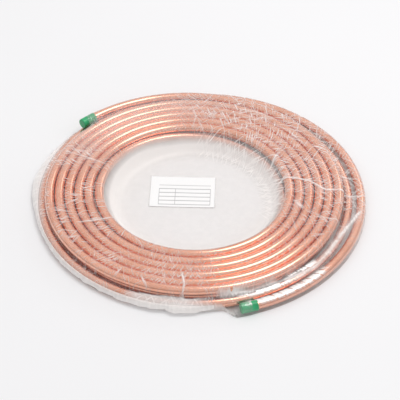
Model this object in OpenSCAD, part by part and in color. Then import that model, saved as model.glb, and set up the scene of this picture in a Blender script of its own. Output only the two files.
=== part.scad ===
// Coil of soft copper tube for refrigeration and plumbing, wound flat in two
// layers, wrapped in clear film, with a push-on cap on each tube end and a
// paper label lying in the bore.
// Millimetres, +Z up. The coil lies flat, and the origin is the middle of the
// face it lies on. The tube starts outside in the lower layer, winds inward,
// climbs on its innermost half turn and winds outward again on top.

/* [Tube] */
// outside diameter of the tube
tube_od = 12.7; // [6.35:0.05:22.3]
// wall thickness of the tube
tube_wall = 0.81; // [0.6:0.01:1.5]

/* [Winding] */
// distance from the coil's axis to the tube's middle where the upper layer starts
start_radius = 125.5; // [90:0.5:220]
// half turns wound in the upper layer before its last arc
upper_half_turns = 11; // [3:2:19]
// half turns wound in the lower layer after its first arc
lower_half_turns = 12; // [4:2:20]
// free space between neighbouring turns
turn_gap = 0.5; // [0.3:0.1:2]
// further space between the lower turns on the side where they lie loose
loose_gap = 4.4; // [0:0.1:8]
// free space between the two layers
layer_gap = 1; // [0.3:0.1:2]
// direction of the loose side, counted from +X towards +Y
loose_angle = 17; // [0:1:45]

/* [Ends] */
// angle that the lower layer's first arc runs back from the loose side
lower_end_sweep = 92; // [40:1:140]
// angle that the upper layer's last arc runs on from the loose side
upper_end_sweep = 118; // [40:1:140]
// how far the upper layer's last arc opens outward on its way across the coil
end_spring = 9; // [0:1:40]

/* [Caps] */
// wall thickness of a cap
cap_wall = 0.5; // [0.4:0.05:1.2]
// length of tube that a cap covers
cap_cover = 20; // [12:1:30]
// thickness of a cap's closed end
cap_end = 1.6; // [1:0.1:3]
// free space between a cap, which is straight, and the bent tube
cap_play = 0.25; // [0.2:0.05:0.5]

/* [Wrap] */
// thickness of the film
film = 0.25; // [0.2:0.05:0.5]
// free space between the film and the caps, above and below
film_play = 0.2; // [0.1:0.1:1]
// free space between the film and the coil, at the outer edges
outer_play = 1; // [0.5:0.1:3]
// slant of the film's outer edges, up and in
edge_slant = 2; // [1:0.5:4]
// steepness of the film from the coil's inner edge down into the bore
bore_slope = 51; // [40:1:70]

/* [Label] */
// width of the label
label_width = 88; // [50:1:110]
// depth of the label
label_depth = 62; // [30:1:80]
// thickness of the label
label_thickness = 0.3; // [0.2:0.05:0.6]
// angle that the label is turned in the bore
label_turn = -2; // [-20:1:20]
// place of the label's middle, left or right of the origin
label_x = -24; // [-30:1:10]
// place of the label's middle, in front of or behind the origin
label_y = 20; // [-20:1:25]

/* [Hidden] */
$fn = 180;
section_sides = 48;
pitch = tube_od + turn_gap;
loose_pitch = pitch + loose_gap;
// the upper cap passes over the lower layer
climb = tube_od + max(layer_gap, cap_wall + cap_play + film_play);
// the climbing half turn passes this far inside both layers, and its top end a little more
pass_room = tenth(0.68 * pitch);
start_step = tenth(0.08 * pitch);
// the tube is a little swollen where it is bent up and where it is bent level again
swell = tube_od / 50;
swell_length = tube_od / 4;
swell_angle = 0.4;
cap_radius = tube_od / 2 + cap_play + cap_wall;
lower_height = film + film_play + cap_radius;
upper_height = lower_height + climb;
climb_tilt = atan(climb / (lower_reach(0) + upper_reach(0)));

// the two arcs that end in a cap, from the loose side to the opposite side
lower_arc = [lower_reach(lower_half_turns), lower_reach(lower_half_turns + 1)];
upper_arc = [upper_reach(upper_half_turns), upper_reach(upper_half_turns + 1) + end_spring];
// the half turns that lead up to these arcs
lower_turn = [lower_reach(lower_half_turns), lower_reach(lower_half_turns - 1)];
upper_turn = [upper_reach(upper_half_turns), upper_reach(upper_half_turns - 1)];

// the film steps up from the lower layer to the upper one, and each step is round
// about the middle of the turns under it
lower_place = [
    (middle(lower_arc) + middle(lower_turn)) / 2,
    (arc_radius(lower_turn) - arc_radius(lower_arc)) / 2
];
upper_place = [
    (middle(upper_arc) + middle(upper_turn)) / 2,
    (arc_radius(upper_arc) - arc_radius(upper_turn)) / 2
];
bore_place = [(upper_reach(1) - upper_reach(0)) / 2, 0];
shoulder_radius = wrap_radius(upper_place, upper_arc, upper_end_sweep, upper_turn);
film_radius = max(
    wrap_radius(lower_place, lower_arc, -lower_end_sweep, lower_turn),
    norm(upper_place - lower_place) + shoulder_radius + edge_slant + outer_play
);
shoulder_height = lower_height + cap_radius + film_play + film;
film_height = upper_height + cap_radius + film_play + film;

function tenth(size) = round(10 * size) / 10;

// distance of the tube's middle from the coil's axis where half turn n starts;
// even half turns of the lower layer start on its loose side
function upper_reach(n) = tenth(start_radius + n * pitch / 2) - (n == 0 ? start_step : 0);
function lower_reach(n) =
    n % 2 == 0
    ? tenth(upper_reach(1) - pass_room + n / 2 * loose_pitch)
    : tenth(start_radius + pass_room + (n - 1) / 2 * pitch);

// an arc is given by its reaches on both sides of the axis
function arc_radius(arc) = (arc[0] + arc[1]) / 2;
function middle(arc) = (arc[0] - arc[1]) / 2;
function arc_tip(arc, sweep) =
    [middle(arc) + arc_radius(arc) * cos(sweep), arc_radius(arc) * sin(sweep)];

// radius of a step of the film that holds a capped arc and the half turn before it
function wrap_radius(place, arc, sweep, turn) =
    outer_play + film + max(
        norm(arc_tip(arc, sweep) - place) + cap_radius,
        norm([middle(turn), 0] - place) + arc_radius(turn) + tube_od / 2
    );

// radius of the bore that the film leaves open at a height
function bore_radius(height, inset) =
    (upper_reach(0) + upper_reach(1)) / 2
    - (upper_height - height) / tan(bore_slope)
    - (tube_od / 2 + swell + film_play + film - inset) / sin(bore_slope);

module ring_section() {
    difference() {
        circle(d = tube_od, $fn = section_sides);
        circle(d = tube_od - 2 * tube_wall, $fn = section_sides);
    }
}

// an arc of tube that starts on side 0 or 180; a negative sweep runs clockwise
module tube_arc(side, arc, height, sweep) {
    rotate([0, 0, side])
        translate([middle(arc), 0, height])
            rotate_extrude(start = min(sweep, 0), angle = abs(sweep))
                translate([arc_radius(arc), 0])
                    ring_section();
}

// the half turn that rises from the lower to the upper layer, tilted about its start
module climbing_arc() {
    radius = arc_radius([lower_reach(0), upper_reach(0)]) / cos(climb_tilt);
    translate([lower_reach(0), 0, lower_height])
        rotate([0, climb_tilt, 0])
            translate([-radius, 0, 0])
                rotate_extrude(start = swell_angle, angle = 180 - 2 * swell_angle)
                    translate([radius, 0])
                        ring_section();
}

// the swollen place at an end of the climbing half turn
module bend(reach, height) {
    translate([reach, swell_length / 2, height])
        rotate([90, 0, 0])
            difference() {
                cylinder(d = tube_od + 2 * swell, h = swell_length);
                translate([0, 0, -1])
                    cylinder(d = tube_od - 2 * tube_wall - 2 * swell, h = swell_length + 2);
            }
}

// the coil's axis stands beside the middle of the face it lies on
module coil_frame() {
    rotate([0, 0, loose_angle])
        translate([-lower_place[0], -lower_place[1], 0])
            children();
}

module copper_tube() {
    color([0.85, 0.52, 0.38])
        coil_frame() {
            tube_arc(0, lower_arc, lower_height, -lower_end_sweep);
            for (n = [0 : lower_half_turns - 1])
                tube_arc(180 * (n % 2), [lower_reach(n), lower_reach(n + 1)], lower_height, -180);
            bend(lower_reach(0), lower_height);
            climbing_arc();
            bend(-upper_reach(0), upper_height);
            for (n = [0 : upper_half_turns - 1])
                tube_arc(180 * ((n + 1) % 2), [upper_reach(n), upper_reach(n + 1)], upper_height, 180);
            tube_arc(0, upper_arc, upper_height, upper_end_sweep);
        }
}

// a blind sleeve with a rounded closed end, its mouth at Z = 0
module cap() {
    edge = cap_end * 0.75;
    depth = cap_cover + 2 * cap_play;
    length = depth + cap_end;
    difference() {
        rotate_extrude() {
            square([cap_radius, length - edge]);
            square([cap_radius - edge, length]);
            intersection() {
                translate([cap_radius - edge, length - edge])
                    circle(r = edge, $fn = section_sides);
                square([cap_radius, length]);
            }
        }
        translate([0, 0, -1])
            cylinder(r = tube_od / 2 + cap_play, h = depth + 1);
    }
}

// a cap on the end of an arc, straight along the middle of the tube that it covers
module end_cap(arc, height, sweep) {
    half_cover = asin(cap_cover / 2 / arc_radius(arc));
    bow = arc_radius(arc) * (1 - cos(half_cover));
    coil_frame()
        translate([middle(arc), 0, height])
            rotate([0, 0, sweep - sign(sweep) * half_cover])
                translate([arc_radius(arc) - bow / 2, 0, 0])
                    rotate([-90 * sign(sweep), 0, 0])
                        translate([0, 0, -cap_cover / 2])
                            cap();
}

module lower_end_cap() {
    color([0.24, 0.68, 0.42])
        end_cap(lower_arc, lower_height, -lower_end_sweep);
}

module upper_end_cap() {
    color([0.24, 0.68, 0.42])
        end_cap(upper_arc, upper_height, upper_end_sweep);
}

module bottom_film() {
    color([0.9, 0.92, 0.94, 0.4])
        cylinder(r = film_radius, h = film);
}

// one step of the wrapped space, from a level up
module wrap_step(radius, level, height) {
    rotate_extrude()
        polygon([
            [0, level],
            [radius, level],
            [radius, height - edge_slant],
            [radius - edge_slant, height],
            [0, height]
        ]);
}

// the space that the film encloses, drawn in by inset
module wrapped_space(inset, level) {
    difference() {
        union() {
            wrap_step(film_radius - inset, level, shoulder_height - inset);
            coil_frame()
                translate(upper_place)
                    wrap_step(shoulder_radius - inset, level, film_height - inset);
        }
        coil_frame()
            translate([bore_place[0], bore_place[1], -1])
                cylinder(
                    r1 = bore_radius(-1, inset),
                    r2 = bore_radius(film_height + 1, inset),
                    h = film_height + 2
                );
    }
}

module top_film() {
    color([0.9, 0.92, 0.94, 0.4])
        difference() {
            union() {
                wrapped_space(0, film);
                coil_frame()
                    translate([bore_place[0], bore_place[1], film])
                        cylinder(r = bore_radius(2 * film, 0) + film, h = film);
            }
            wrapped_space(film, 0);
        }
}

module label() {
    color([0.97, 0.97, 0.96])
        translate([label_x, label_y, 2 * film])
            rotate([0, 0, label_turn])
                translate([-label_width / 2, -label_depth / 2, 0])
                    cube([label_width, label_depth, label_thickness]);
}

copper_tube();
lower_end_cap();
upper_end_cap();
bottom_film();
top_film();
label();
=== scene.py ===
import math
from typing import NamedTuple

import bpy
import numpy as np
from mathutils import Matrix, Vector


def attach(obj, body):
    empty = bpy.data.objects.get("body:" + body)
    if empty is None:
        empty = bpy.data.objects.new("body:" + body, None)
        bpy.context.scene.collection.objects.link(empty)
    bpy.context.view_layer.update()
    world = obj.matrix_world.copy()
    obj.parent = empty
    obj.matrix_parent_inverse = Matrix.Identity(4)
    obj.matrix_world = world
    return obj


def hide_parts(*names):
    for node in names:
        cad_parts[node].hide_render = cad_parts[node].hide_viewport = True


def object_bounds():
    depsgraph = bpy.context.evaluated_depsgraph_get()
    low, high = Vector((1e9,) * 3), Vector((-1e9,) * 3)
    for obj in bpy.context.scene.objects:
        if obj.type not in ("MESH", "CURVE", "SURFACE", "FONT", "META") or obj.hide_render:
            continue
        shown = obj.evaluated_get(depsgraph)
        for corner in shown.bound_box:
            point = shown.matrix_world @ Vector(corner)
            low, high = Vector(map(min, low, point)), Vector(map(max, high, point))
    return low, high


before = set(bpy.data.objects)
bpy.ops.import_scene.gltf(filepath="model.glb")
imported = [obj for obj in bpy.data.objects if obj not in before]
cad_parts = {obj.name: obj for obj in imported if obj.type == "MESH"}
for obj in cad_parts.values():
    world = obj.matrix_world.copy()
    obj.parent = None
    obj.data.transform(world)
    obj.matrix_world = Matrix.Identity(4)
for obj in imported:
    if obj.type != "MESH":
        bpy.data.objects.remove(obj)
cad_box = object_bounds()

MM = 0.001

# the winding, repeated from part.scad in millimetres and degrees
TUBE_OD = 12.7
TUBE_WALL = 0.81
START_RADIUS = 125.5
UPPER_HALF_TURNS = 11
LOWER_HALF_TURNS = 12
TURN_GAP = 0.5
LOOSE_GAP = 4.4
LAYER_GAP = 1.0
LOOSE_ANGLE = math.radians(17)
LOWER_SWEEP = 92
UPPER_SWEEP = 118
END_SPRING = 9
CAP_WALL = 0.5
CAP_COVER = 20
CAP_PLAY = 0.25
FILM = 0.25
FILM_PLAY = 0.2
LABEL_SIZE = (88.0, 62.0)
LABEL_PLACE = (-24.0, 20.0)
LABEL_TURN = math.radians(-2)

# worked out from these as in part.scad
TUBE_R = TUBE_OD / 2
PITCH = TUBE_OD + TURN_GAP
LOOSE_PITCH = PITCH + LOOSE_GAP
PASS_ROOM = round(0.68 * PITCH, 1)
START_STEP = round(0.08 * PITCH, 1)
CAP_RADIUS = TUBE_R + CAP_PLAY + CAP_WALL
LOW_Z = FILM + FILM_PLAY + CAP_RADIUS
UP_Z = LOW_Z + TUBE_OD + max(LAYER_GAP, CAP_WALL + CAP_PLAY + FILM_PLAY)


def upper_reach(n):
    return round(START_RADIUS + n * PITCH / 2, 1) - (START_STEP if n == 0 else 0)


def lower_reach(n):
    if n % 2 == 0:
        return round(upper_reach(1) - PASS_ROOM + n / 2 * LOOSE_PITCH, 1)
    return round(START_RADIUS + PASS_ROOM + (n - 1) / 2 * PITCH, 1)


class Arc(NamedTuple):
    """An arc of the winding: the side it starts on, its reaches there and opposite, sweep and heights."""

    side: float
    near: float
    far: float
    sweep: float
    start_z: float
    end_z: float

    @property
    def radius(self):
        return (self.near + self.far) / 2

    @property
    def offset(self):
        return (self.near - self.far) / 2

    def height(self, angle):
        return self.start_z + (self.end_z - self.start_z) * (1 - np.cos(angle)) / 2


def level_arc(side, near, far, sweep, z):
    return Arc(side, near, far, sweep, z, z)


lower_end = level_arc(
    0, lower_reach(LOWER_HALF_TURNS), lower_reach(LOWER_HALF_TURNS + 1), -LOWER_SWEEP, LOW_Z
)
lower_arcs = [lower_end] + [
    level_arc(180 * (n % 2), lower_reach(n), lower_reach(n + 1), -180, LOW_Z)
    for n in reversed(range(LOWER_HALF_TURNS))
]
climbing = Arc(0, lower_reach(0), upper_reach(0), 180, LOW_Z, UP_Z)
upper_end = level_arc(
    0, upper_reach(UPPER_HALF_TURNS), upper_reach(UPPER_HALF_TURNS + 1) + END_SPRING, UPPER_SWEEP, UP_Z
)
upper_arcs = [
    level_arc(180 * ((n + 1) % 2), upper_reach(n), upper_reach(n + 1), 180, UP_Z)
    for n in range(UPPER_HALF_TURNS)
] + [upper_end]

# the middle of the base, which is the frame's origin, seen from the winding's axis
lower_turn = lower_arcs[1]
BASE_X = (lower_end.offset - lower_turn.offset) / 2
BASE_Y = (lower_turn.radius - lower_end.radius) / 2


def to_frame(x, y):
    """Places in the winding's own frame, to the row frame, still in millimetres."""
    c, s = math.cos(LOOSE_ANGLE), math.sin(LOOSE_ANGLE)
    x, y = x - BASE_X, y - BASE_Y
    return c * x - s * y, s * x + c * y


def polar_to_frame(radius, angle):
    return to_frame(radius * np.cos(angle), radius * np.sin(angle))


# small helpers
NOISE_CELLS = 512


def smooth_noise(u, v, seed, period=NOISE_CELLS):
    """Value noise in 0..1; u wraps after period cells."""
    table = np.random.default_rng(seed).random((NOISE_CELLS, NOISE_CELLS))
    i, j = np.floor(u).astype(int), np.floor(v).astype(int)
    fu, fv = u - i, v - j
    fu, fv = fu * fu * (3 - 2 * fu), fv * fv * (3 - 2 * fv)
    i0, i1 = i % period, (i + 1) % period
    j0, j1 = j % NOISE_CELLS, (j + 1) % NOISE_CELLS
    top = table[i0, j0] * (1 - fu) + table[i1, j0] * fu
    low = table[i0, j1] * (1 - fu) + table[i1, j1] * fu
    return top * (1 - fv) + low * fv


def blur_round(values, sigma):
    """Gaussian blur along axis 0, which closes on itself."""
    reach = int(3 * sigma) + 1
    shifts = range(-reach, reach + 1)
    weights = np.exp(-0.5 * (np.array(shifts) / sigma) ** 2)
    weights /= weights.sum()
    return sum(weight * np.roll(values, shift, axis=0) for weight, shift in zip(weights, shifts))


def band(first, second, count):
    """Faces between two closed rings of count points, given by the number of each ring's first point."""
    following = [*range(1, count), 0]
    return [(first + k, second + k, second + n, first + n) for k, n in enumerate(following)]


def grid_faces(rows, columns):
    """Faces of a grid of points that is stored row by row."""
    corners = (i * columns + j for i in range(rows - 1) for j in range(columns - 1))
    return [(a, a + 1, a + columns + 1, a + columns) for a in corners]


def flipped(faces):
    return [(a, d, c, b) for a, b, c, d in faces]


def make_object(name, verts_mm, faces, smooth=True):
    mesh = bpy.data.meshes.new(name)
    mesh.from_pydata((np.asarray(verts_mm) * MM).tolist(), [], faces)
    mesh.polygons.foreach_set("use_smooth", [smooth] * len(mesh.polygons))
    mesh.update()
    obj = bpy.data.objects.new(name, mesh)
    bpy.context.scene.collection.objects.link(obj)
    return obj


def add_float(obj, name, values):
    layer = obj.data.attributes.new(name, "FLOAT", "POINT")
    layer.data.foreach_set("value", np.asarray(values, np.float32))


def add_uv(obj, uv):
    layer = obj.data.uv_layers.new(name="UVMap")
    corner = np.zeros(len(obj.data.loops), np.int32)
    obj.data.loops.foreach_get("vertex_index", corner)
    layer.data.foreach_set("uv", np.asarray(uv, np.float32)[corner].ravel())


class Nodes:
    """A material's node tree with short calls to add and link nodes."""

    def __init__(self, name):
        self.material = bpy.data.materials.new(name)
        self.material.use_nodes = True
        self.tree = self.material.node_tree
        self.tree.nodes.clear()
        self.out = self.tree.nodes.new("ShaderNodeOutputMaterial")

    def add(self, kind, links=None, **sockets):
        node = self.tree.nodes.new(kind)
        for key, value in sockets.items():
            if hasattr(node, key) and key not in node.inputs:
                setattr(node, key, value)
            else:
                node.inputs[key].default_value = value
        for key, source in (links or {}).items():
            self.tree.links.new(source, node.inputs[key])
        return node

    def math(self, operation, *values):
        node = self.tree.nodes.new("ShaderNodeMath")
        node.operation = operation
        for socket, value in zip(node.inputs, values):
            if isinstance(value, (int, float)):
                socket.default_value = value
            else:
                self.tree.links.new(value, socket)
        return node.outputs[0]

    def times(self, a, b):
        return self.math("MULTIPLY", a, b)

    def plus(self, a, b):
        return self.math("ADD", a, b)

    def vector(self, operation, source, by=(0, 0, 0)):
        node = self.add("ShaderNodeVectorMath", {0: source}, operation=operation)
        node.inputs[1].default_value = by
        return node.outputs["Value" if operation == "LENGTH" else 0]

    def place(self):
        return self.add("ShaderNodeTexCoord").outputs["Object"]

    def noise(self, place, scale, detail, roughness=0.5):
        node = self.add(
            "ShaderNodeTexNoise", {"Vector": place}, Scale=scale, Detail=detail, Roughness=roughness
        )
        return node.outputs["Fac"]

    def bump(self, height, strength, distance):
        node = self.add("ShaderNodeBump", {"Height": height}, Strength=strength, Distance=distance)
        return node.outputs[0]

    def ramp(self, source, stops):
        node = self.tree.nodes.new("ShaderNodeValToRGB")
        while len(node.color_ramp.elements) < len(stops):
            node.color_ramp.elements.new(0.5)
        for element, (place, colour) in zip(node.color_ramp.elements, stops):
            element.position = place
            element.color = (*colour, 1)
        self.tree.links.new(source, node.inputs[0])
        return node.outputs[0]

    def surface(self, shader):
        self.tree.links.new(shader.outputs[0], self.out.inputs["Surface"])
        return self.material


# copper tube
TUBE_SIDES = 24
ARC_STEP = 2.7


def arc_points(arc):
    count = round(abs(arc.sweep) / ARC_STEP) + 1
    t = np.radians(np.linspace(0, arc.sweep, count))
    x, y = arc.offset + arc.radius * np.cos(t), arc.radius * np.sin(t)
    c, s = math.cos(math.radians(arc.side)), math.sin(math.radians(arc.side))
    return np.column_stack((*to_frame(x * c - y * s, x * s + y * c), arc.height(t)))


def tube_line():
    """Points along the middle of the tube, from its lower to its upper end."""
    parts = [arc_points(arc)[::-1] for arc in lower_arcs]
    parts += [arc_points(arc) for arc in [climbing] + upper_arcs]
    return np.vstack([parts[0]] + [part[1:] for part in parts[1:]])


def tube_mesh():
    line = tube_line()
    count = len(line)
    run = np.r_[0, np.cumsum(np.linalg.norm(np.diff(line, axis=0), axis=1))]
    tangent = np.gradient(line, axis=0)
    tangent /= np.linalg.norm(tangent, axis=1)[:, None]
    out = np.cross(tangent, (0, 0, 1.0))
    out /= np.linalg.norm(out, axis=1)[:, None]
    up = np.cross(out, tangent)
    angle = np.arange(TUBE_SIDES) * 2 * np.pi / TUBE_SIDES
    around_line = np.cos(angle)[None, :, None] * out[:, None] + np.sin(angle)[None, :, None] * up[:, None]
    skins = [
        (line[:, None] + radius * around_line).reshape(-1, 3) for radius in (TUBE_R, TUBE_R - TUBE_WALL)
    ]
    uv = np.column_stack((np.repeat(run * MM, TUBE_SIDES), np.tile(angle / (2 * np.pi), count)))
    inside = count * TUBE_SIDES
    last = inside - TUBE_SIDES
    faces = []
    for ring in range(0, last, TUBE_SIDES):
        faces += band(ring, ring + TUBE_SIDES, TUBE_SIDES)
        faces += flipped(band(inside + ring, inside + ring + TUBE_SIDES, TUBE_SIDES))
    faces += flipped(band(0, inside, TUBE_SIDES)) + band(last, inside + last, TUBE_SIDES)
    obj = make_object("coil_tube", np.vstack(skins), faces)
    add_uv(obj, np.vstack((uv, uv)))
    return obj


def copper_material():
    n = Nodes("drawn_copper")
    uv = n.add("ShaderNodeUVMap", uv_map="UVMap").outputs["UV"]
    # lengthwise draw lines, long along the tube and fine round it
    stretch = n.add("ShaderNodeMapping", {"Vector": uv}, Scale=(7, 60, 1))
    draw = n.noise(stretch.outputs[0], 1.0, 4.0, 0.6)
    cloud = n.noise(n.place(), 38.0, 5.0, 0.62)
    tone = n.ramp(
        cloud, [(0.30, (0.80, 0.375, 0.25)), (0.50, (0.87, 0.435, 0.30)), (0.72, (0.91, 0.485, 0.35))]
    )
    rough = n.plus(n.plus(n.times(draw, 0.12), n.times(cloud, 0.13)), 0.05)
    shader = n.add(
        "ShaderNodeBsdfPrincipled",
        {"Base Color": tone, "Roughness": rough, "Normal": n.bump(draw, 0.06, 0.0004)},
        Metallic=1.0,
    )
    return n.surface(shader)


# film, in columns round the winding's axis
COLUMNS = 900
column_angle = np.arange(COLUMNS) * 2 * np.pi / COLUMNS
azimuth = np.degrees(column_angle + LOOSE_ANGLE) % 360
RADIUS_STEP = 0.4
radii = np.arange(70, 240, RADIUS_STEP)
NO_FILM = -60.0
FILM_GAP = 0.25
FLOOR_Z = 2 * FILM
BASE_Z = 0.02
# length of the caps past the tube's ends
CAP_TIP = 2.5
# the rim is widened over a few columns beside the tube ends
RIM_COLUMNS = 6
RIM_EASE = 0.35
RIM_BLUR = 2.5
RIM_PLAY = 0.4
RIM_ROUND = 2.5
RIM_Z = 3.0
RIM_INSET = 0.02
RIM_CLEAR = 0.05
# the slope into the bore, which runs further on one side
SLOPE_TOP = 3.0
SLOPE_RUN = 24.0
SLOPE_LEAN = 4.0
SLOPE_SIDE = 0.9
SLOPE_FALL = 26.5
FOOT_ROUND = 2.2
# the film bridges the grooves like a ball that rolls over them
BALL_RADIUS = 34.0
BALL_STEPS = 34
DEEPEST = -5.0
SHEET_BLUR = 3.0
ROW_BLUR = 2.0
# rows of film points in each part
ROWS_FLOOR = 9
ROWS_SLOPE = 20
ROWS_COIL = 60
ROWS_SIDE = 5
ROWS_BASE = 5
FLOOR_INSET = 34.0
FLOOR_SPACING = 0.8


def by_azimuth(pairs):
    """A value for each column from (azimuth in degrees, value) pairs, closing on itself."""
    angles, values = zip(*pairs)
    return np.interp(azimuth, angles, values, period=360)


def turned_by(arc):
    """Angle of each column from an arc's start, in degrees about the winding's axis. An arc's own middle
    lies beside that axis, so its end, with its cap, is taken some millimetres off."""
    return np.degrees(np.sign(arc.sweep) * (column_angle - math.radians(arc.side))) % 360


def reach_at(arc):
    """Distance of an arc's middle line from the axis in each column, its height, and whether it is there."""
    t = column_angle - math.radians(arc.side)
    reach = arc.offset * np.cos(t) + np.sqrt(arc.radius**2 - (arc.offset * np.sin(t)) ** 2)
    return reach, arc.height(t), turned_by(arc) <= abs(arc.sweep) + 1e-6


def cap_at(arc):
    """The same for the cap on an arc's end."""
    past_end = math.degrees(CAP_TIP / arc.radius)
    reach, z, there = reach_at(arc._replace(sweep=arc.sweep + math.copysign(past_end, arc.sweep)))
    mouth = abs(arc.sweep) - math.degrees(CAP_COVER / arc.radius)
    return reach, z, there & (turned_by(arc) >= mouth)


def coil_top():
    """Height of the coil's top over the radii in each column, and the radius of its outer edge."""
    top = np.full((COLUMNS, len(radii)), NO_FILM)
    edge = np.zeros(COLUMNS)
    turns = [(*reach_at(arc), TUBE_R + FILM_GAP) for arc in lower_arcs + [climbing] + upper_arcs]
    turns += [(*cap_at(arc), CAP_RADIUS + FILM_GAP) for arc in (lower_end, upper_end)]
    for reach, z, there, radius in turns:
        aside = radii - reach[:, None]
        over = z[:, None] + np.sqrt(np.maximum(radius**2 - aside**2, 0))
        hit = there[:, None] & (np.abs(aside) <= radius)
        top = np.where(hit, np.maximum(top, over), top)
        edge = np.maximum(edge, np.where(there, reach + radius, 0))
    return top, edge


def rim_reach(edge):
    """Radius of the film's rim, which runs smoothly past the tube ends."""
    wide = edge.copy()
    for shift in range(1, RIM_COLUMNS + 1):
        beside = np.maximum(np.roll(edge, shift), np.roll(edge, -shift))
        wide = np.maximum(wide, beside - RIM_EASE * shift * shift)
    return np.maximum(blur_round(wide, RIM_BLUR), edge) + RIM_PLAY


def rim_bead():
    """Height of the film's rounded edge at the rim."""
    aside = radii - (rim - RIM_ROUND)[:, None]
    over = RIM_Z + np.sqrt(np.maximum(RIM_ROUND**2 - aside**2, 0))
    return np.where(np.abs(aside) <= RIM_ROUND, over, NO_FILM)


def bore_slope():
    """Height of the film from the inner edge of the coil down to the floor of the bore."""
    foot = inner_edge - SLOPE_RUN - SLOPE_LEAN * np.cos(column_angle - SLOPE_SIDE)
    steep = SLOPE_FALL / (inner_edge - SLOPE_TOP - foot)
    run = (radii - foot[:, None]) * steep[:, None]
    down = FLOOR_Z + FOOT_ROUND * np.log1p(np.exp(np.clip(run / FOOT_ROUND, -30, 30)))
    down = np.minimum(down, UP_Z + TUBE_R + FILM_GAP)
    return np.where(radii < inner_edge[:, None], down, NO_FILM)


def bridged(heights):
    """Heights of a sheet that bridges the grooves with a little sag."""
    steps = np.arange(-BALL_STEPS, BALL_STEPS + 1)
    dip = np.sqrt(BALL_RADIUS**2 - (steps * RADIUS_STEP) ** 2) - BALL_RADIUS
    margin = 2 * BALL_STEPS
    size = heights.shape[1]
    padded = np.pad(heights, ((0, 0), (margin, margin)), constant_values=-200.0)
    grown = np.max([padded[:, k : k + size + margin] + d for k, d in enumerate(dip)], axis=0)
    return np.min([grown[:, k : k + size] - d for k, d in enumerate(dip)], axis=0)


first_turn = upper_arcs[0]
inner_edge = first_turn.radius - first_turn.offset * np.cos(column_angle)
coil_height, coil_edge = coil_top()
rim = rim_reach(coil_edge)
contact = np.maximum.reduce((coil_height, rim_bead(), bore_slope()))
sheet = np.maximum(blur_round(np.maximum(bridged(contact), DEEPEST), SHEET_BLUR), contact)


def film_rows():
    """Radius and height of each film row in each column, from the bore's middle over the coil to the
    rim, and the height of what lies under it."""
    start = inner_edge - FLOOR_INSET
    floor_r = [start * (k / ROWS_FLOOR) ** FLOOR_SPACING for k in range(1, ROWS_FLOOR)]
    floor_z = np.full((ROWS_FLOOR - 1, COLUMNS), FLOOR_Z)
    rows = np.zeros((3, COLUMNS, ROWS_SLOPE + ROWS_COIL))
    for j in range(COLUMNS):
        use = (radii > start[j]) & (radii < rim[j] - RIM_CLEAR)
        r = np.r_[start[j], radii[use], rim[j] - RIM_INSET]
        z = np.maximum(np.r_[FLOOR_Z, sheet[j, use], RIM_Z], FLOOR_Z)
        bare = np.r_[FLOOR_Z, contact[j, use], RIM_Z]
        length = np.r_[0, np.cumsum(np.hypot(np.diff(r), np.diff(z)))]
        # the slope into the bore has its own rows, so that it stays smooth beside the caps
        split = np.interp(inner_edge[j] - SLOPE_TOP, r, length)
        slope_at = np.linspace(0, split, ROWS_SLOPE, endpoint=False)
        at = np.r_[slope_at, np.linspace(split, length[-1], ROWS_COIL)]
        rows[:, j] = [np.interp(at, length, values) for values in (r, z, bare)]
    rows[0] = blur_round(rows[0], ROW_BLUR)
    return [np.vstack((floor, part.T)) for floor, part in zip((floor_r, floor_z, floor_z), rows)]


row_r, row_z, row_bare = film_rows()
film_x, film_y = polar_to_frame(row_r, column_angle)
around = np.broadcast_to(column_angle, row_r.shape)
from_inner = row_r - inner_edge
turn = from_inner / PITCH
over_coil = np.interp(row_z, (5, 9), (0, 1)) * np.interp(from_inner, (-7, -3), (0, 1))

# wrinkles and haze round the coil as the photo shows them: (azimuth in degrees, value)
MARKS = [
    (0, 0.8), (30, 0.7), (60, 0.8), (84, 0.8), (95, 0.5), (106, 0.2), (140, 0.4), (155, 1.0), (170, 1.35),
    (200, 1.25), (220, 0.9), (240, 0.75), (255, 0.75), (272, 0.7), (288, 0.45), (300, 0.35), (320, 0.5),
    (340, 0.8),
]
LOOSE = [
    (0, 0.55), (20, 0.9), (45, 1.0), (75, 0.9), (92, 0.45), (105, 0.08), (160, 0.1), (200, 0.15),
    (250, 0.45), (268, 0.4), (285, 0.15), (320, 0.3), (345, 0.5),
]
BORE_FEATHERS = [(335, 0), (352, 0.7), (10, 1), (50, 1), (76, 0.9), (90, 0)]
FLAP = [(244, 0), (250, 1), (269, 1), (276, 0.3), (280, 0)]
# painted light over the shade at the rim, by azimuth
RIM_PAINTED_LIGHT = [
    (255, 0), (266, 0.5), (281, 0.6), (285, 0.1), (292, 0.1), (298, 0.15), (350, 0.2), (20, 0.15), (50, 0),
]
LEFT_HAZE = [(148, 0), (160, 0.45), (185, 0.5), (200, 0.25), (238, 0.2), (244, 0)]
BACK_PAINTED_HIGHLIGHT = [(65, 0), (90, 0.12), (115, 0.24), (150, 0.2), (175, 0)]
# painted highlight: white over the back turns that broadens their highlights
RIGHT_HAZE = [(300, 0), (335, 0.02), (20, 0.02), (60, 0.02), (95, 0.01), (110, 0)]
# film haze on the bore's floor; on the slope, painted light: near-opaque white that covers the shade under it
BORE_HAZE_AND_PAINTED_LIGHT = [(0, 0.9), (60, 0.9), (100, 1), (180, 1), (270, 0.85), (330, 0.9)]
# painted light: white along the inner edge over the shade under the innermost turn
INNER_PAINTED_LIGHT = [
    (330, 0.1), (30, 0.15), (70, 0.05), (105, 0.1), (130, 0.4), (200, 0.45), (240, 0.15), (260, 0.1),
]
SMOOTH = [(270, 0), (285, 1), (346, 1), (354, 0)]
# where the film glares on the outermost lower turns: real gloss, and also a painted white highlight
GLARE = [(286, 0), (295, 1), (316, 1), (323, 0)]
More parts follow.
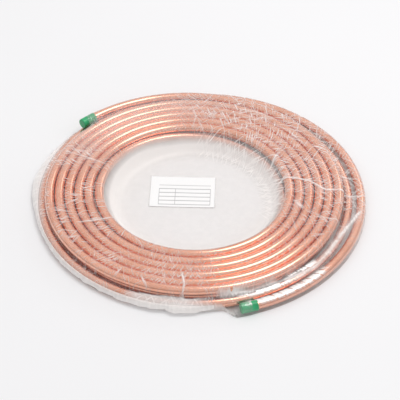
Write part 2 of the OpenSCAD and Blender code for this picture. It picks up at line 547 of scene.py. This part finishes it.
# width of the weld fin in millimetres
FIN = [
    (140, 0), (150, 6), (160, 10), (171, 11.5), (179, 8.5), (187, 5), (196, 3.5), (207, 3.2), (216, 4),
    (224, 4.2), (232, 4), (241, 4.6), (251, 6.2), (257, 6.6), (261, 4.2), (264, 9), (267, 7.5), (271, 6.5),
    (275, 2), (278, 0),
]

# creases that lie where the photo shows them: points in the row frame, width, height, whiteness
# the whiteness is a painted highlight along each crease; the height is real relief
STROKES = [
    (
        [(83, -6), (97, 10), (111, 20), (130, 18), (148, 12), (159, 2), (168, -6), (188, -6), (217, -4)],
        1.5, 1.0, 0.9,
    ),
    ([(184, 36), (204, 33), (216, 31)], 1.2, 0.8, 0.6),
    ([(42, 106), (34, 96), (20, 86)], 2.6, 1.4, 0.75),
    ([(54, 98), (42, 86)], 1.6, 1.0, 0.6),
    ([(108, 71), (98, 54), (86, 40)], 2.4, 1.4, 0.8),
    ([(92, 68), (84, 54)], 1.5, 0.9, 0.6),
    ([(120, 24), (108, 20), (88, 12)], 2.2, 1.2, 0.8),
    ([(114, 42), (100, 32)], 1.6, 1.0, 0.6),
    ([(128, -30), (135, -42)], 3.0, 0.9, 0.7),
    ([(-160, -71), (-138, -67), (-114, -61)], 1.2, 0.9, 0.8),
    ([(-184, 75), (-158, 63), (-130, 49)], 1.4, 0.8, 0.6),
    ([(-23, -168), (-20, -188), (-23, -206)], 1.2, 0.9, 0.8),
    ([(156, -60), (172, -64), (192, -66)], 1.0, 0.7, 0.5),
    ([(146, -98), (162, -94)], 1.0, 0.7, 0.5),
    ([(92, 142), (124, 118), (146, 86)], 1.3, 0.8, 0.5),
    ([(36, 174), (76, 162), (114, 140)], 1.2, 0.8, 0.45),
    ([(-12, 178), (-6, 152), (-10, 130)], 1.1, 0.7, 0.5),
    ([(10, 174), (14, 150)], 1.0, 0.7, 0.45),
    ([(-74, -176), (-68, -190)], 1.2, 0.8, 0.7),
    ([(-100, -158), (-108, -170)], 1.0, 0.7, 0.6),
    ([(-88, -96), (-78, -110), (-74, -122)], 1.0, 0.6, 0.4),
    ([(-66, -100), (-60, -114)], 1.0, 0.6, 0.4),
]
SEAM = [
    (218, -20), (216, -31), (205, -49), (191, -71), (169, -110), (148, -142), (115, -164), (63, -190),
    (31, -197), (6, -200),
]
SEAM_HIGH = 1.3
SEAM_WIDE = 1.5
SEAM_HAZE_WIDE = 7.0
# the film lies smooth on the lower layer, below this height, outside this radius and clear of the seam
SMOOTH_BELOW = 19
SMOOTH_OUTSIDE = 170
SEAM_CLEAR = 3
# broad folds where the film is loose: seed, lean and size
FOLDS = [(5, 0.8, 11.0), (6, -0.5, 15.0)]
FOLD_RADIUS = 170
FOLD_HIGH = 0.5
MARK_PATCHES = 40
FLAP_TEETH = 90
FLAP_EDGE = 202.0


def spread(pairs, distance, places, levels):
    """A value that changes round the coil by (azimuth, value) pairs, and with a distance."""
    return by_azimuth(pairs) * np.interp(distance, places, levels)


def stroke_distance(points):
    """Distance of each film point to a line of points, and how far along it that is, from 0 to 1."""
    points = np.array(points, float)
    best = np.full(film_x.shape, np.inf)
    along = np.zeros(film_x.shape)
    total = np.linalg.norm(np.diff(points, axis=0), axis=1).sum()
    done = 0.0
    for a, b in zip(points[:-1], points[1:]):
        d = b - a
        size = np.hypot(*d)
        t = np.clip(((film_x - a[0]) * d[0] + (film_y - a[1]) * d[1]) / size**2, 0, 1)
        gap = np.hypot(film_x - a[0] - t * d[0], film_y - a[1] - t * d[1])
        closer = gap < best
        best = np.where(closer, gap, best)
        along = np.where(closer, (done + t * size) / total, along)
        done += size
    return best, along


def fine_marks():
    """How strong the fine marks are. They lie across the grooves, in patches; the film's material bumps them
    as wrinkles and paints them white as glints.
    """
    groove = 0.5 + 0.5 * np.cos(2 * np.pi * (turn - 0.5))
    patchy = smooth_noise(around * MARK_PATCHES / (2 * np.pi), turn * 0.9 + 20, 31, MARK_PATCHES)
    marks = by_azimuth(MARKS) * over_coil * (0.6 + 0.4 * groove) * np.clip(2.4 * patchy - 0.4, 0.08, 1.2)
    steep = np.abs(np.gradient(row_z, axis=0) / np.maximum(np.gradient(row_r, axis=0), 0.05))
    return marks * np.interp(steep, (0.7, 1.5), (1, 0.25))


def broad_folds(crumple):
    """Height of the folds where the film is loose."""
    lift = np.zeros(row_r.shape)
    for seed, lean, size in FOLDS:
        u = (around * FOLD_RADIUS + lean * (row_r - FOLD_RADIUS)) / size
        v = (row_r - 0.25 * lean * around * FOLD_RADIUS) / (size * 3.2)
        ridge = 1 - np.abs(2 * smooth_noise(u, v, seed) - 1)
        lift += FOLD_HIGH * np.clip((ridge - 0.75) / 0.25, 0, 1) * crumple
    return lift


def haze():
    """How white the film is, without its creases: its haze, with painted light over shade at the rim and the
    bore's slope, and a painted highlight on the back turns.
    """
    torn = row_r + 5 * (smooth_noise(around * FLAP_TEETH / (2 * np.pi), 0 * turn + 4.5, 41, FLAP_TEETH) - 0.5)
    flap_edge = np.exp(-((torn - FLAP_EDGE - 0.5) ** 2))
    flap = 0.72 * np.interp(torn, (FLAP_EDGE - 1.5, FLAP_EDGE), (0, 1)) + 0.2 * flap_edge
    white = spread(FLAP, row_z, (15, 17), (1, 0)) * flap
    # painted light: white laid over the shade under the outermost turn, where the film is drawn in at the rim
    white += spread(RIM_PAINTED_LIGHT, row_r - rim, (-2.5, -0.5), (0, 1))
    white += spread(LEFT_HAZE, row_r, (200, 206), (0, 1))
    # painted highlight over the back turns
    white += spread(BACK_PAINTED_HIGHLIGHT, row_r, (140, 160, 190, 205), (0.4, 1, 1, 0.3))
    white += by_azimuth(RIGHT_HAZE) * over_coil
    # film haze in the bore, and painted light on the slope over the shade beneath it
    white += spread(
        BORE_HAZE_AND_PAINTED_LIGHT, from_inner,
        (-60, -45, -36, -27, -19, -12, -6, -2), (0.45, 0.5, 0.62, 0.9, 0.95, 0.32, 0.04, 0),
    )
    # painted light over the shade under the innermost turn
    white += spread(INNER_PAINTED_LIGHT, from_inner, (-20, -14, -8, -3), (0, 1, 0.7, 0))
    return white


def creases():
    """Height and whiteness of the larger creases and the weld seam, and the distance from the seam; the
    creases' whiteness is a painted highlight along each fold.
    """
    lift, white = np.zeros(row_r.shape), np.zeros(row_r.shape)
    for points, wide, high, pale in STROKES:
        gap, along = stroke_distance(points)
        ridge = np.exp(-((gap / wide) ** 2)) * np.sin(np.pi * np.clip(along, 0.08, 0.92)) ** 0.4
        lift += high * ridge
        # painted highlight along the crease
        white = np.maximum(white, pale * ridge)
    gap, along = stroke_distance(SEAM)
    taper = np.clip(along / 0.08, 0, 1) * np.clip((1 - along) / 0.12, 0, 1)
    taper *= 0.3 + 0.9 * smooth_noise(along * 26, 0 * along + 2.5, 42)
    ridge = np.exp(-((gap / SEAM_WIDE) ** 2)) * taper
    seam_white = 0.7 * ridge + 0.42 * np.exp(-((gap / SEAM_HAZE_WIDE) ** 2)) * taper
    return lift + SEAM_HIGH * ridge, np.maximum(white, seam_white), gap


def lamp_glare(outside):
    """How strongly the film mirrors the lamp along the crests of the outermost lower turns; the same mask
    also paints a white highlight there through the haze.
    """
    aside = np.full(row_r.shape, np.inf)
    for arc in lower_arcs[:4]:
        reach, _, there = reach_at(arc)
        aside = np.where(there, np.minimum(aside, np.abs(row_r - reach)), aside)
    crest = np.clip(1.4 - 2.1 * (aside / TUBE_R) ** 2, 0, 1.2)
    return by_azimuth(GLARE) * np.where(outside, np.interp(row_z, (4, 8), (0, 1)), 0) * crest


def film_wrinkles():
    """Height of the film's wrinkles, and how strong its creases, fine marks, crumples and glare are."""
    marks = fine_marks()
    crumple = by_azimuth(LOOSE) * over_coil
    crumple += spread(BORE_FEATHERS, from_inner, (-38, -28, -10, -2), (0, 0.9, 1, 0))
    crease_lift, crease_white, seam_gap = creases()
    lift = broad_folds(crumple) + crease_lift
    white = np.maximum(haze(), crease_white)
    # outside the seam the film lies smooth on the lower turns
    outside = (row_z < SMOOTH_BELOW) & (row_r > SMOOTH_OUTSIDE) & (seam_gap > SEAM_CLEAR)
    smooth = np.where(outside, by_azimuth(SMOOTH), 0)
    lift *= 1 - 0.85 * smooth
    marks *= 1 - 0.7 * smooth
    crumple *= 1 - 0.8 * smooth
    # the film is flat in the bore, and wrinkles less where it lies on a tube
    free = np.interp(row_z - row_bare, (0, 0.8), (0.45, 1))
    lift *= free * np.interp(row_z, (1, 4), (0, 1))
    return lift, np.clip(white, 0, 1), marks, crumple, lamp_glare(outside)


def film_mesh():
    lift, *looks = film_wrinkles()
    z = np.clip(row_z + lift, FLOOR_Z, cad_box[1].z / MM - 0.05)
    middle = polar_to_frame(0, 0)
    rings = [np.column_stack(points) for points in zip(film_x, film_y, z)]
    for share in np.arange(1, ROWS_SIDE) / (ROWS_SIDE - 1):
        level = np.full(COLUMNS, RIM_Z - (RIM_Z - BASE_Z) * share)
        rings.append(np.column_stack((*polar_to_frame(rim, column_angle), level)))
    for share in 1 - np.arange(1, ROWS_BASE) / ROWS_BASE:
        level = np.full(COLUMNS, BASE_Z)
        rings.append(np.column_stack((*polar_to_frame(rim * share, column_angle), level)))
    starts = [1 + k * COLUMNS for k in range(len(rings))]
    end = 1 + len(rings) * COLUMNS
    faces = [(0, 1 + j, 1 + (j + 1) % COLUMNS) for j in range(COLUMNS)]
    for first, second in zip(starts, starts[1:]):
        faces += band(first, second, COLUMNS)
    faces += [(end, starts[-1] + (j + 1) % COLUMNS, starts[-1] + j) for j in range(COLUMNS)]
    obj = make_object("film_wrap", np.vstack(([(*middle, FLOOR_Z)], *rings, [(*middle, BASE_Z)])), faces)
    for name, value in zip(("crease", "marks", "crumple", "glare"), looks):
        # the side wall below the rim takes the rim row's values, so it carries the rim's painted light too
        side = np.tile(value[-1] * 0.8, ROWS_SIDE - 1)
        base = np.zeros((ROWS_BASE - 1) * COLUMNS + 1)
        add_float(obj, name, np.concatenate(([0], value.ravel(), side, base)))
    return obj


FIN_ACROSS = 7
FIN_OVERLAP = 0.6
FIN_Z = 10.5
FIN_LOWEST = 1.0
FIN_BOW = 1.6
FIN_DROOP = 5.5
FIN_WAVE = 3.0
FIN_RIPPLE = 1.2
FIN_WHITE = 0.74


def fin_mesh():
    """The weld fin that stands out from the rim on the left, with the loose flap at its front end."""
    wide = by_azimuth(FIN)
    use = np.nonzero(wide > 0.05)[0]
    use = use[np.argsort((azimuth[use] - 100) % 360)]
    verts, crease = [], []
    wave = smooth_noise(column_angle * 40, np.full(COLUMNS, 3.5), 12) - 0.5
    ripple = smooth_noise(column_angle * 90, np.full(COLUMNS, 8.5), 13) - 0.5
    for j in use:
        for t in np.arange(FIN_ACROSS) / (FIN_ACROSS - 1):
            r = rim[j] - FIN_OVERLAP + (wide[j] + FIN_RIPPLE * ripple[j] * t) * t
            z = FIN_Z + FIN_WAVE * wave[j] * t + FIN_BOW * math.sin(math.pi * t) - FIN_DROOP * t * t
            verts.append((*polar_to_frame(r, column_angle[j]), max(z, FIN_LOWEST)))
            edge = 0.25 if t in (0, 1) else 0
            crease.append(FIN_WHITE + 0.3 * t**4 + edge + 0.3 * max(ripple[j], 0))
    obj = make_object("film_fin", verts, grid_faces(len(use), FIN_ACROSS))
    add_float(obj, "crease", np.clip(crease, 0, 1))
    return obj


# the dashes in the film are measured from the coil's axis, in metres
AXIS_SHIFT = (0.0113, 0, 0)
DASH_RADIUS = 0.17


def dash_maker(n, place):
    """A function that adds fine dashes across the turns: noise that is long outward from the coil's axis
    and short round it."""
    flat = n.vector("MULTIPLY", n.vector("ADD", place, AXIS_SHIFT), (1, 1, 0))
    reach = n.vector("LENGTH", flat)
    unit = n.vector("NORMALIZE", flat)

    def dashes(lean, long, scale, low, high, offset):
        turned = n.add(
            "ShaderNodeVectorRotate",
            {"Vector": unit, "Angle": n.times(reach, lean / DASH_RADIUS)},
            rotation_type="Z_AXIS",
        )
        ring = n.add("ShaderNodeVectorMath", {0: turned.outputs[0]}, operation="SCALE", Scale=DASH_RADIUS)
        out = n.add("ShaderNodeCombineXYZ", {"Z": n.plus(n.times(reach, 1 / long), offset)})
        spot = n.add("ShaderNodeVectorMath", {0: ring.outputs[0], 1: out.outputs[0]}, operation="ADD")
        return n.ramp(n.noise(spot.outputs[0], scale, 1.0), [(low, (0, 0, 0)), (high, (1, 1, 1))])

    return dashes


def film_pane(n, relief, glare):
    """Clear film that mirrors more at a glancing angle, the same from both sides."""
    bump = n.bump(relief, 0.2, 0.0006)
    clear = n.add("ShaderNodeBsdfTransparent", Color=(0.995, 0.993, 0.992, 1))
    gloss = n.add("ShaderNodeBsdfGlossy", {"Normal": bump}, Color=(1, 1, 1, 1), Roughness=0.16)
    facing = n.add("ShaderNodeLayerWeight", {"Normal": bump}, Blend=0.5).outputs["Facing"]
    mirror = n.plus(n.times(n.math("POWER", facing, 4.0), 0.75), 0.045)
    mirror = n.math("MINIMUM", n.plus(mirror, n.times(glare, 0.2)), 0.8)
    return n.add("ShaderNodeMixShader", {0: mirror, 1: clear.outputs[0], 2: gloss.outputs[0]})


def film_haze(n, glare):
    """White film, which has a broad gloss where it lies smooth and glares."""
    # the warm tint of this white is a painted reflection of the copper
    white = (0.99, 0.962, 0.948, 1)
    matt = n.add("ShaderNodeBsdfDiffuse", Color=white, Roughness=0.4)
    through = n.add("ShaderNodeBsdfTranslucent", Color=white)
    soft = n.add("ShaderNodeMixShader", {1: matt.outputs[0], 2: through.outputs[0]}, Fac=0.08)
    sheen = n.add("ShaderNodeBsdfGlossy", Color=(1, 0.97, 0.94, 1), Roughness=0.5)
    return n.add(
        "ShaderNodeMixShader", {0: n.times(glare, 0.6), 1: soft.outputs[0], 2: sheen.outputs[0]}
    )


def film_material():
    n = Nodes("clear_shrink_film")
    crease, marks, crumple, glare = (
        n.add("ShaderNodeAttribute", attribute_name=name).outputs["Fac"]
        for name in ("crease", "marks", "crumple", "glare")
    )
    place = n.place()
    dashes = dash_maker(n, place)
    dash = n.math(
        "MAXIMUM", dashes(0.45, 8.0, 430.0, 0.54, 0.66, 0.0), dashes(-0.35, 6.0, 360.0, 0.57, 0.69, 3.0)
    )
    feather = n.math(
        "MAXIMUM", dashes(1.3, 7.0, 380.0, 0.57, 0.67, 5.0), dashes(-0.7, 8.0, 460.0, 0.57, 0.67, 9.0)
    )
    slash = dashes(-0.5, 14.0, 380.0, 0.52, 0.6, 12.0)
    # the dashes bump the film as wrinkles; their white below is a painted glint on those wrinkles
    lines = n.plus(n.times(dash, marks), n.times(n.times(feather, crumple), 1.3))
    relief = n.plus(n.noise(place, 420.0, 3.0, 0.6), n.times(lines, 1.5))
    veil = n.ramp(
        n.noise(place, 60.0, 4.0, 0.55), [(0.45, (0.005, 0.005, 0.005)), (0.75, (0.05, 0.05, 0.05))]
    )
    # painted highlight: white haze along the crests where the lamp glares, broken by copper-coloured slashes
    painted_glare = n.math("MAXIMUM", n.math("SUBTRACT", glare, n.times(slash, 0.9)), 0.0)
    # white from the creases and the dashes; the dashes' white is a painted glint
    amount = n.plus(n.times(crease, 0.95), n.times(lines, 0.42))
    amount = n.math("MINIMUM", n.plus(n.plus(amount, painted_glare), veil), 0.95)
    pane, white = film_pane(n, relief, glare), film_haze(n, glare)
    return n.surface(n.add("ShaderNodeMixShader", {0: amount, 1: pane.outputs[0], 2: white.outputs[0]}))


# caps
def cap_material():
    n = Nodes("green_cap_plastic")
    place = n.place()
    tone = n.ramp(n.noise(place, 120.0, 3.0), [(0.3, (0.012, 0.30, 0.115)), (0.7, (0.03, 0.42, 0.17))])
    bump = n.bump(n.noise(place, 900.0, 2.0), 0.12, 0.0003)
    return n.surface(n.add("ShaderNodeBsdfPrincipled", {"Base Color": tone, "Normal": bump}, Roughness=0.32))


# label, in millimetres from its middle
LABEL_GRID = (132, 94)
LABEL_Z = 0.62
LABEL_THICK = 0.25
TABLE_X = (-32, 38)
TABLE_Y = (-26, 6)
TABLE_ROW = 8
TABLE_COLUMN = 22
RULE_HALF = 0.35
RULE_INK = 0.6
HEADLINE_Y = (13, 13.7)
HEADLINE_INK = 0.45


def label_ink(x, y):
    """Darkness of a plain ruled table and one line above it."""
    ink = np.zeros(x.shape)

    def rule(x0, x1, y0, y1, tone):
        ink[(x >= x0) & (x <= x1) & (y >= y0) & (y <= y1)] = tone

    rule(*TABLE_X, *HEADLINE_Y, HEADLINE_INK)
    for level in range(TABLE_Y[0], TABLE_Y[1] + 1, TABLE_ROW):
        rule(*TABLE_X, level - RULE_HALF, level + RULE_HALF, RULE_INK)
    for side in (TABLE_X[0], TABLE_X[0] + TABLE_COLUMN, TABLE_X[1]):
        rule(side - RULE_HALF, side + RULE_HALF, *TABLE_Y, RULE_INK)
    return ink


def label_mesh():
    """A slightly wavy paper label with a plain ruled table printed on its top face."""
    columns, rows = LABEL_GRID
    count = columns * rows
    u, v = np.meshgrid(np.linspace(0, 1, columns), np.linspace(0, 1, rows))
    x, y = (u - 0.5) * LABEL_SIZE[0], (v - 0.5) * LABEL_SIZE[1]
    curl = np.maximum(np.abs(u - 0.5) - 0.36, 0) ** 2 * np.maximum(np.abs(v - 0.5) - 0.2, 0) * 60
    z = LABEL_Z + curl + 0.25 * smooth_noise(u * 3 + 2, v * 2 + 2, 21)
    c, s = math.cos(LABEL_TURN), math.sin(LABEL_TURN)
    px, py = LABEL_PLACE[0] + c * x - s * y, LABEL_PLACE[1] + s * x + c * y
    top, under = (
        np.column_stack((px.ravel(), py.ravel(), level.ravel())) for level in (z + LABEL_THICK, z)
    )
    faces = []
    for face in grid_faces(rows, columns):
        faces += [face, *flipped([[count + point for point in face]])]
    grid = np.arange(count).reshape(rows, columns)
    border = np.concatenate((grid[0], grid[1:, -1], grid[-1, -2::-1], grid[-2:0:-1, 0])).tolist()
    faces += [(a, count + a, count + b, b) for a, b in zip(border, border[1:] + border[:1])]
    obj = make_object("paper_label", np.vstack((top, under)), faces)
    add_float(obj, "ink", np.concatenate((label_ink(x, y).ravel(), np.zeros(count))))
    return obj


def label_material():
    n = Nodes("label_paper")
    ink = n.add("ShaderNodeAttribute", attribute_name="ink").outputs["Fac"]
    fibre = n.noise(n.place(), 1500.0, 3.0)
    paper = n.ramp(fibre, [(0.3, (0.90, 0.90, 0.905)), (0.7, (0.95, 0.95, 0.955))])
    tone = n.add("ShaderNodeMixRGB", {"Fac": ink, "Color1": paper}, Color2=(0.10, 0.10, 0.11, 1)).outputs[0]
    bump = n.bump(fibre, 0.05, 0.0002)
    return n.surface(n.add("ShaderNodeBsdfPrincipled", {"Base Color": tone, "Normal": bump}, Roughness=0.55))


def dress(obj, material, slot, *nodes):
    obj.data.materials.clear()
    obj.data.materials.append(material)
    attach(obj, "root")
    if nodes:
        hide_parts(*nodes)


dress(tube_mesh(), copper_material(), "copper", "copper_tube")
film_look = film_material()
dress(film_mesh(), film_look, "clear_film", "top_film", "bottom_film")
dress(fin_mesh(), film_look, "clear_film")
dress(label_mesh(), label_material(), "label_paper", "label")
cap_look = cap_material()
for name in ("lower_end_cap", "upper_end_cap"):
    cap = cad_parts[name]
    cap.data.materials.clear()
    cap.data.materials.append(cap_look)

# stage, light and camera; the floor in millimetres, the rest in metres
FLOOR_HALF = 6000.0
FLOOR_LEVEL = -0.02
# strength of the world by direction: axis, its range there, and the strength at both ends
WORLD_LEVELS = [("Z", 0.0, 0.7, 0.53, 0.89), ("Y", -1.0, 1.0, -0.14, 0.06), ("X", 0.0, 1.0, 0.0, 0.02)]
# a softbox overhead on the right, and a low one behind that draws lines on the tubes at the sides
LAMPS = [
    ("overhead_softbox", (1.35, 1.2), 23.0, (0.9, 0.42, 2.62)),
    ("back_softbox", (0.9, 0.5), 2.2, (1.3, 2.1, 1.35)),
]
CAMERA_TARGET = Vector((-0.0002, 0.0043, 0.0))
CAMERA_ELEVATION = math.radians(41.29)
CAMERA_DISTANCE = 2.413
CAMERA_LENS = 160.1
SENSOR_WIDTH = 36.0


def make_stage():
    n = Nodes("pale_floor")
    grain = n.noise(n.place(), 3.0, 2.0)
    tone = n.ramp(grain, [(0.3, (0.872, 0.875, 0.892)), (0.7, (0.882, 0.885, 0.902))])
    corners = [(-1, -1), (1, -1), (1, 1), (-1, 1)]
    verts = [(x * FLOOR_HALF, y * FLOOR_HALF, FLOOR_LEVEL) for x, y in corners]
    floor = make_object("floor", verts, [(0, 1, 2, 3)], smooth=False)
    floor.data.materials.append(n.surface(n.add("ShaderNodeBsdfDiffuse", {"Color": tone})))


def make_world():
    world = bpy.data.worlds.new("studio")
    bpy.context.scene.world = world
    world.use_nodes = True
    tree = world.node_tree
    back = tree.nodes["Background"]
    back.inputs["Color"].default_value = (1.0, 0.99, 0.985, 1)
    split = tree.nodes.new("ShaderNodeSeparateXYZ")
    tree.links.new(tree.nodes.new("ShaderNodeTexCoord").outputs["Generated"], split.inputs[0])
    total = None
    for axis, *levels in WORLD_LEVELS:
        level = tree.nodes.new("ShaderNodeMapRange")
        for key, value in zip(("From Min", "From Max", "To Min", "To Max"), levels):
            level.inputs[key].default_value = value
        tree.links.new(split.outputs[axis], level.inputs["Value"])
        strength = level.outputs[0]
        if total is not None:
            add = tree.nodes.new("ShaderNodeMath")
            tree.links.new(total, add.inputs[0])
            tree.links.new(strength, add.inputs[1])
            strength = add.outputs[0]
        total = strength
    tree.links.new(total, back.inputs["Strength"])


def make_lamps():
    for name, size, energy, place in LAMPS:
        lamp = bpy.data.lights.new(name, "AREA")
        lamp.shape = "RECTANGLE"
        lamp.size, lamp.size_y = size
        lamp.energy = energy
        lamp.color = (1.0, 0.99, 0.975)
        aim(bpy.data.objects.new(name, lamp), Vector(place), Vector((0, 0, 0)))


def make_camera():
    data = bpy.data.cameras.new("photo_camera")
    data.sensor_width = SENSOR_WIDTH
    data.lens = CAMERA_LENS
    data.clip_start, data.clip_end = 0.05, 50
    camera = bpy.data.objects.new("photo_camera", data)
    toward = Vector((0, -math.cos(CAMERA_ELEVATION), math.sin(CAMERA_ELEVATION)))
    aim(camera, CAMERA_TARGET + toward * CAMERA_DISTANCE, CAMERA_TARGET)
    bpy.context.scene.camera = camera


def aim(obj, place, target):
    """Puts a lamp or camera in its place, looking at the target."""
    obj.location = place
    obj.rotation_mode = "QUATERNION"
    obj.rotation_quaternion = (target - place).to_track_quat("-Z", "Y")
    bpy.context.scene.collection.objects.link(obj)


make_stage()
make_world()
make_lamps()
make_camera()
bpy.context.scene.view_settings.view_transform = "Standard"
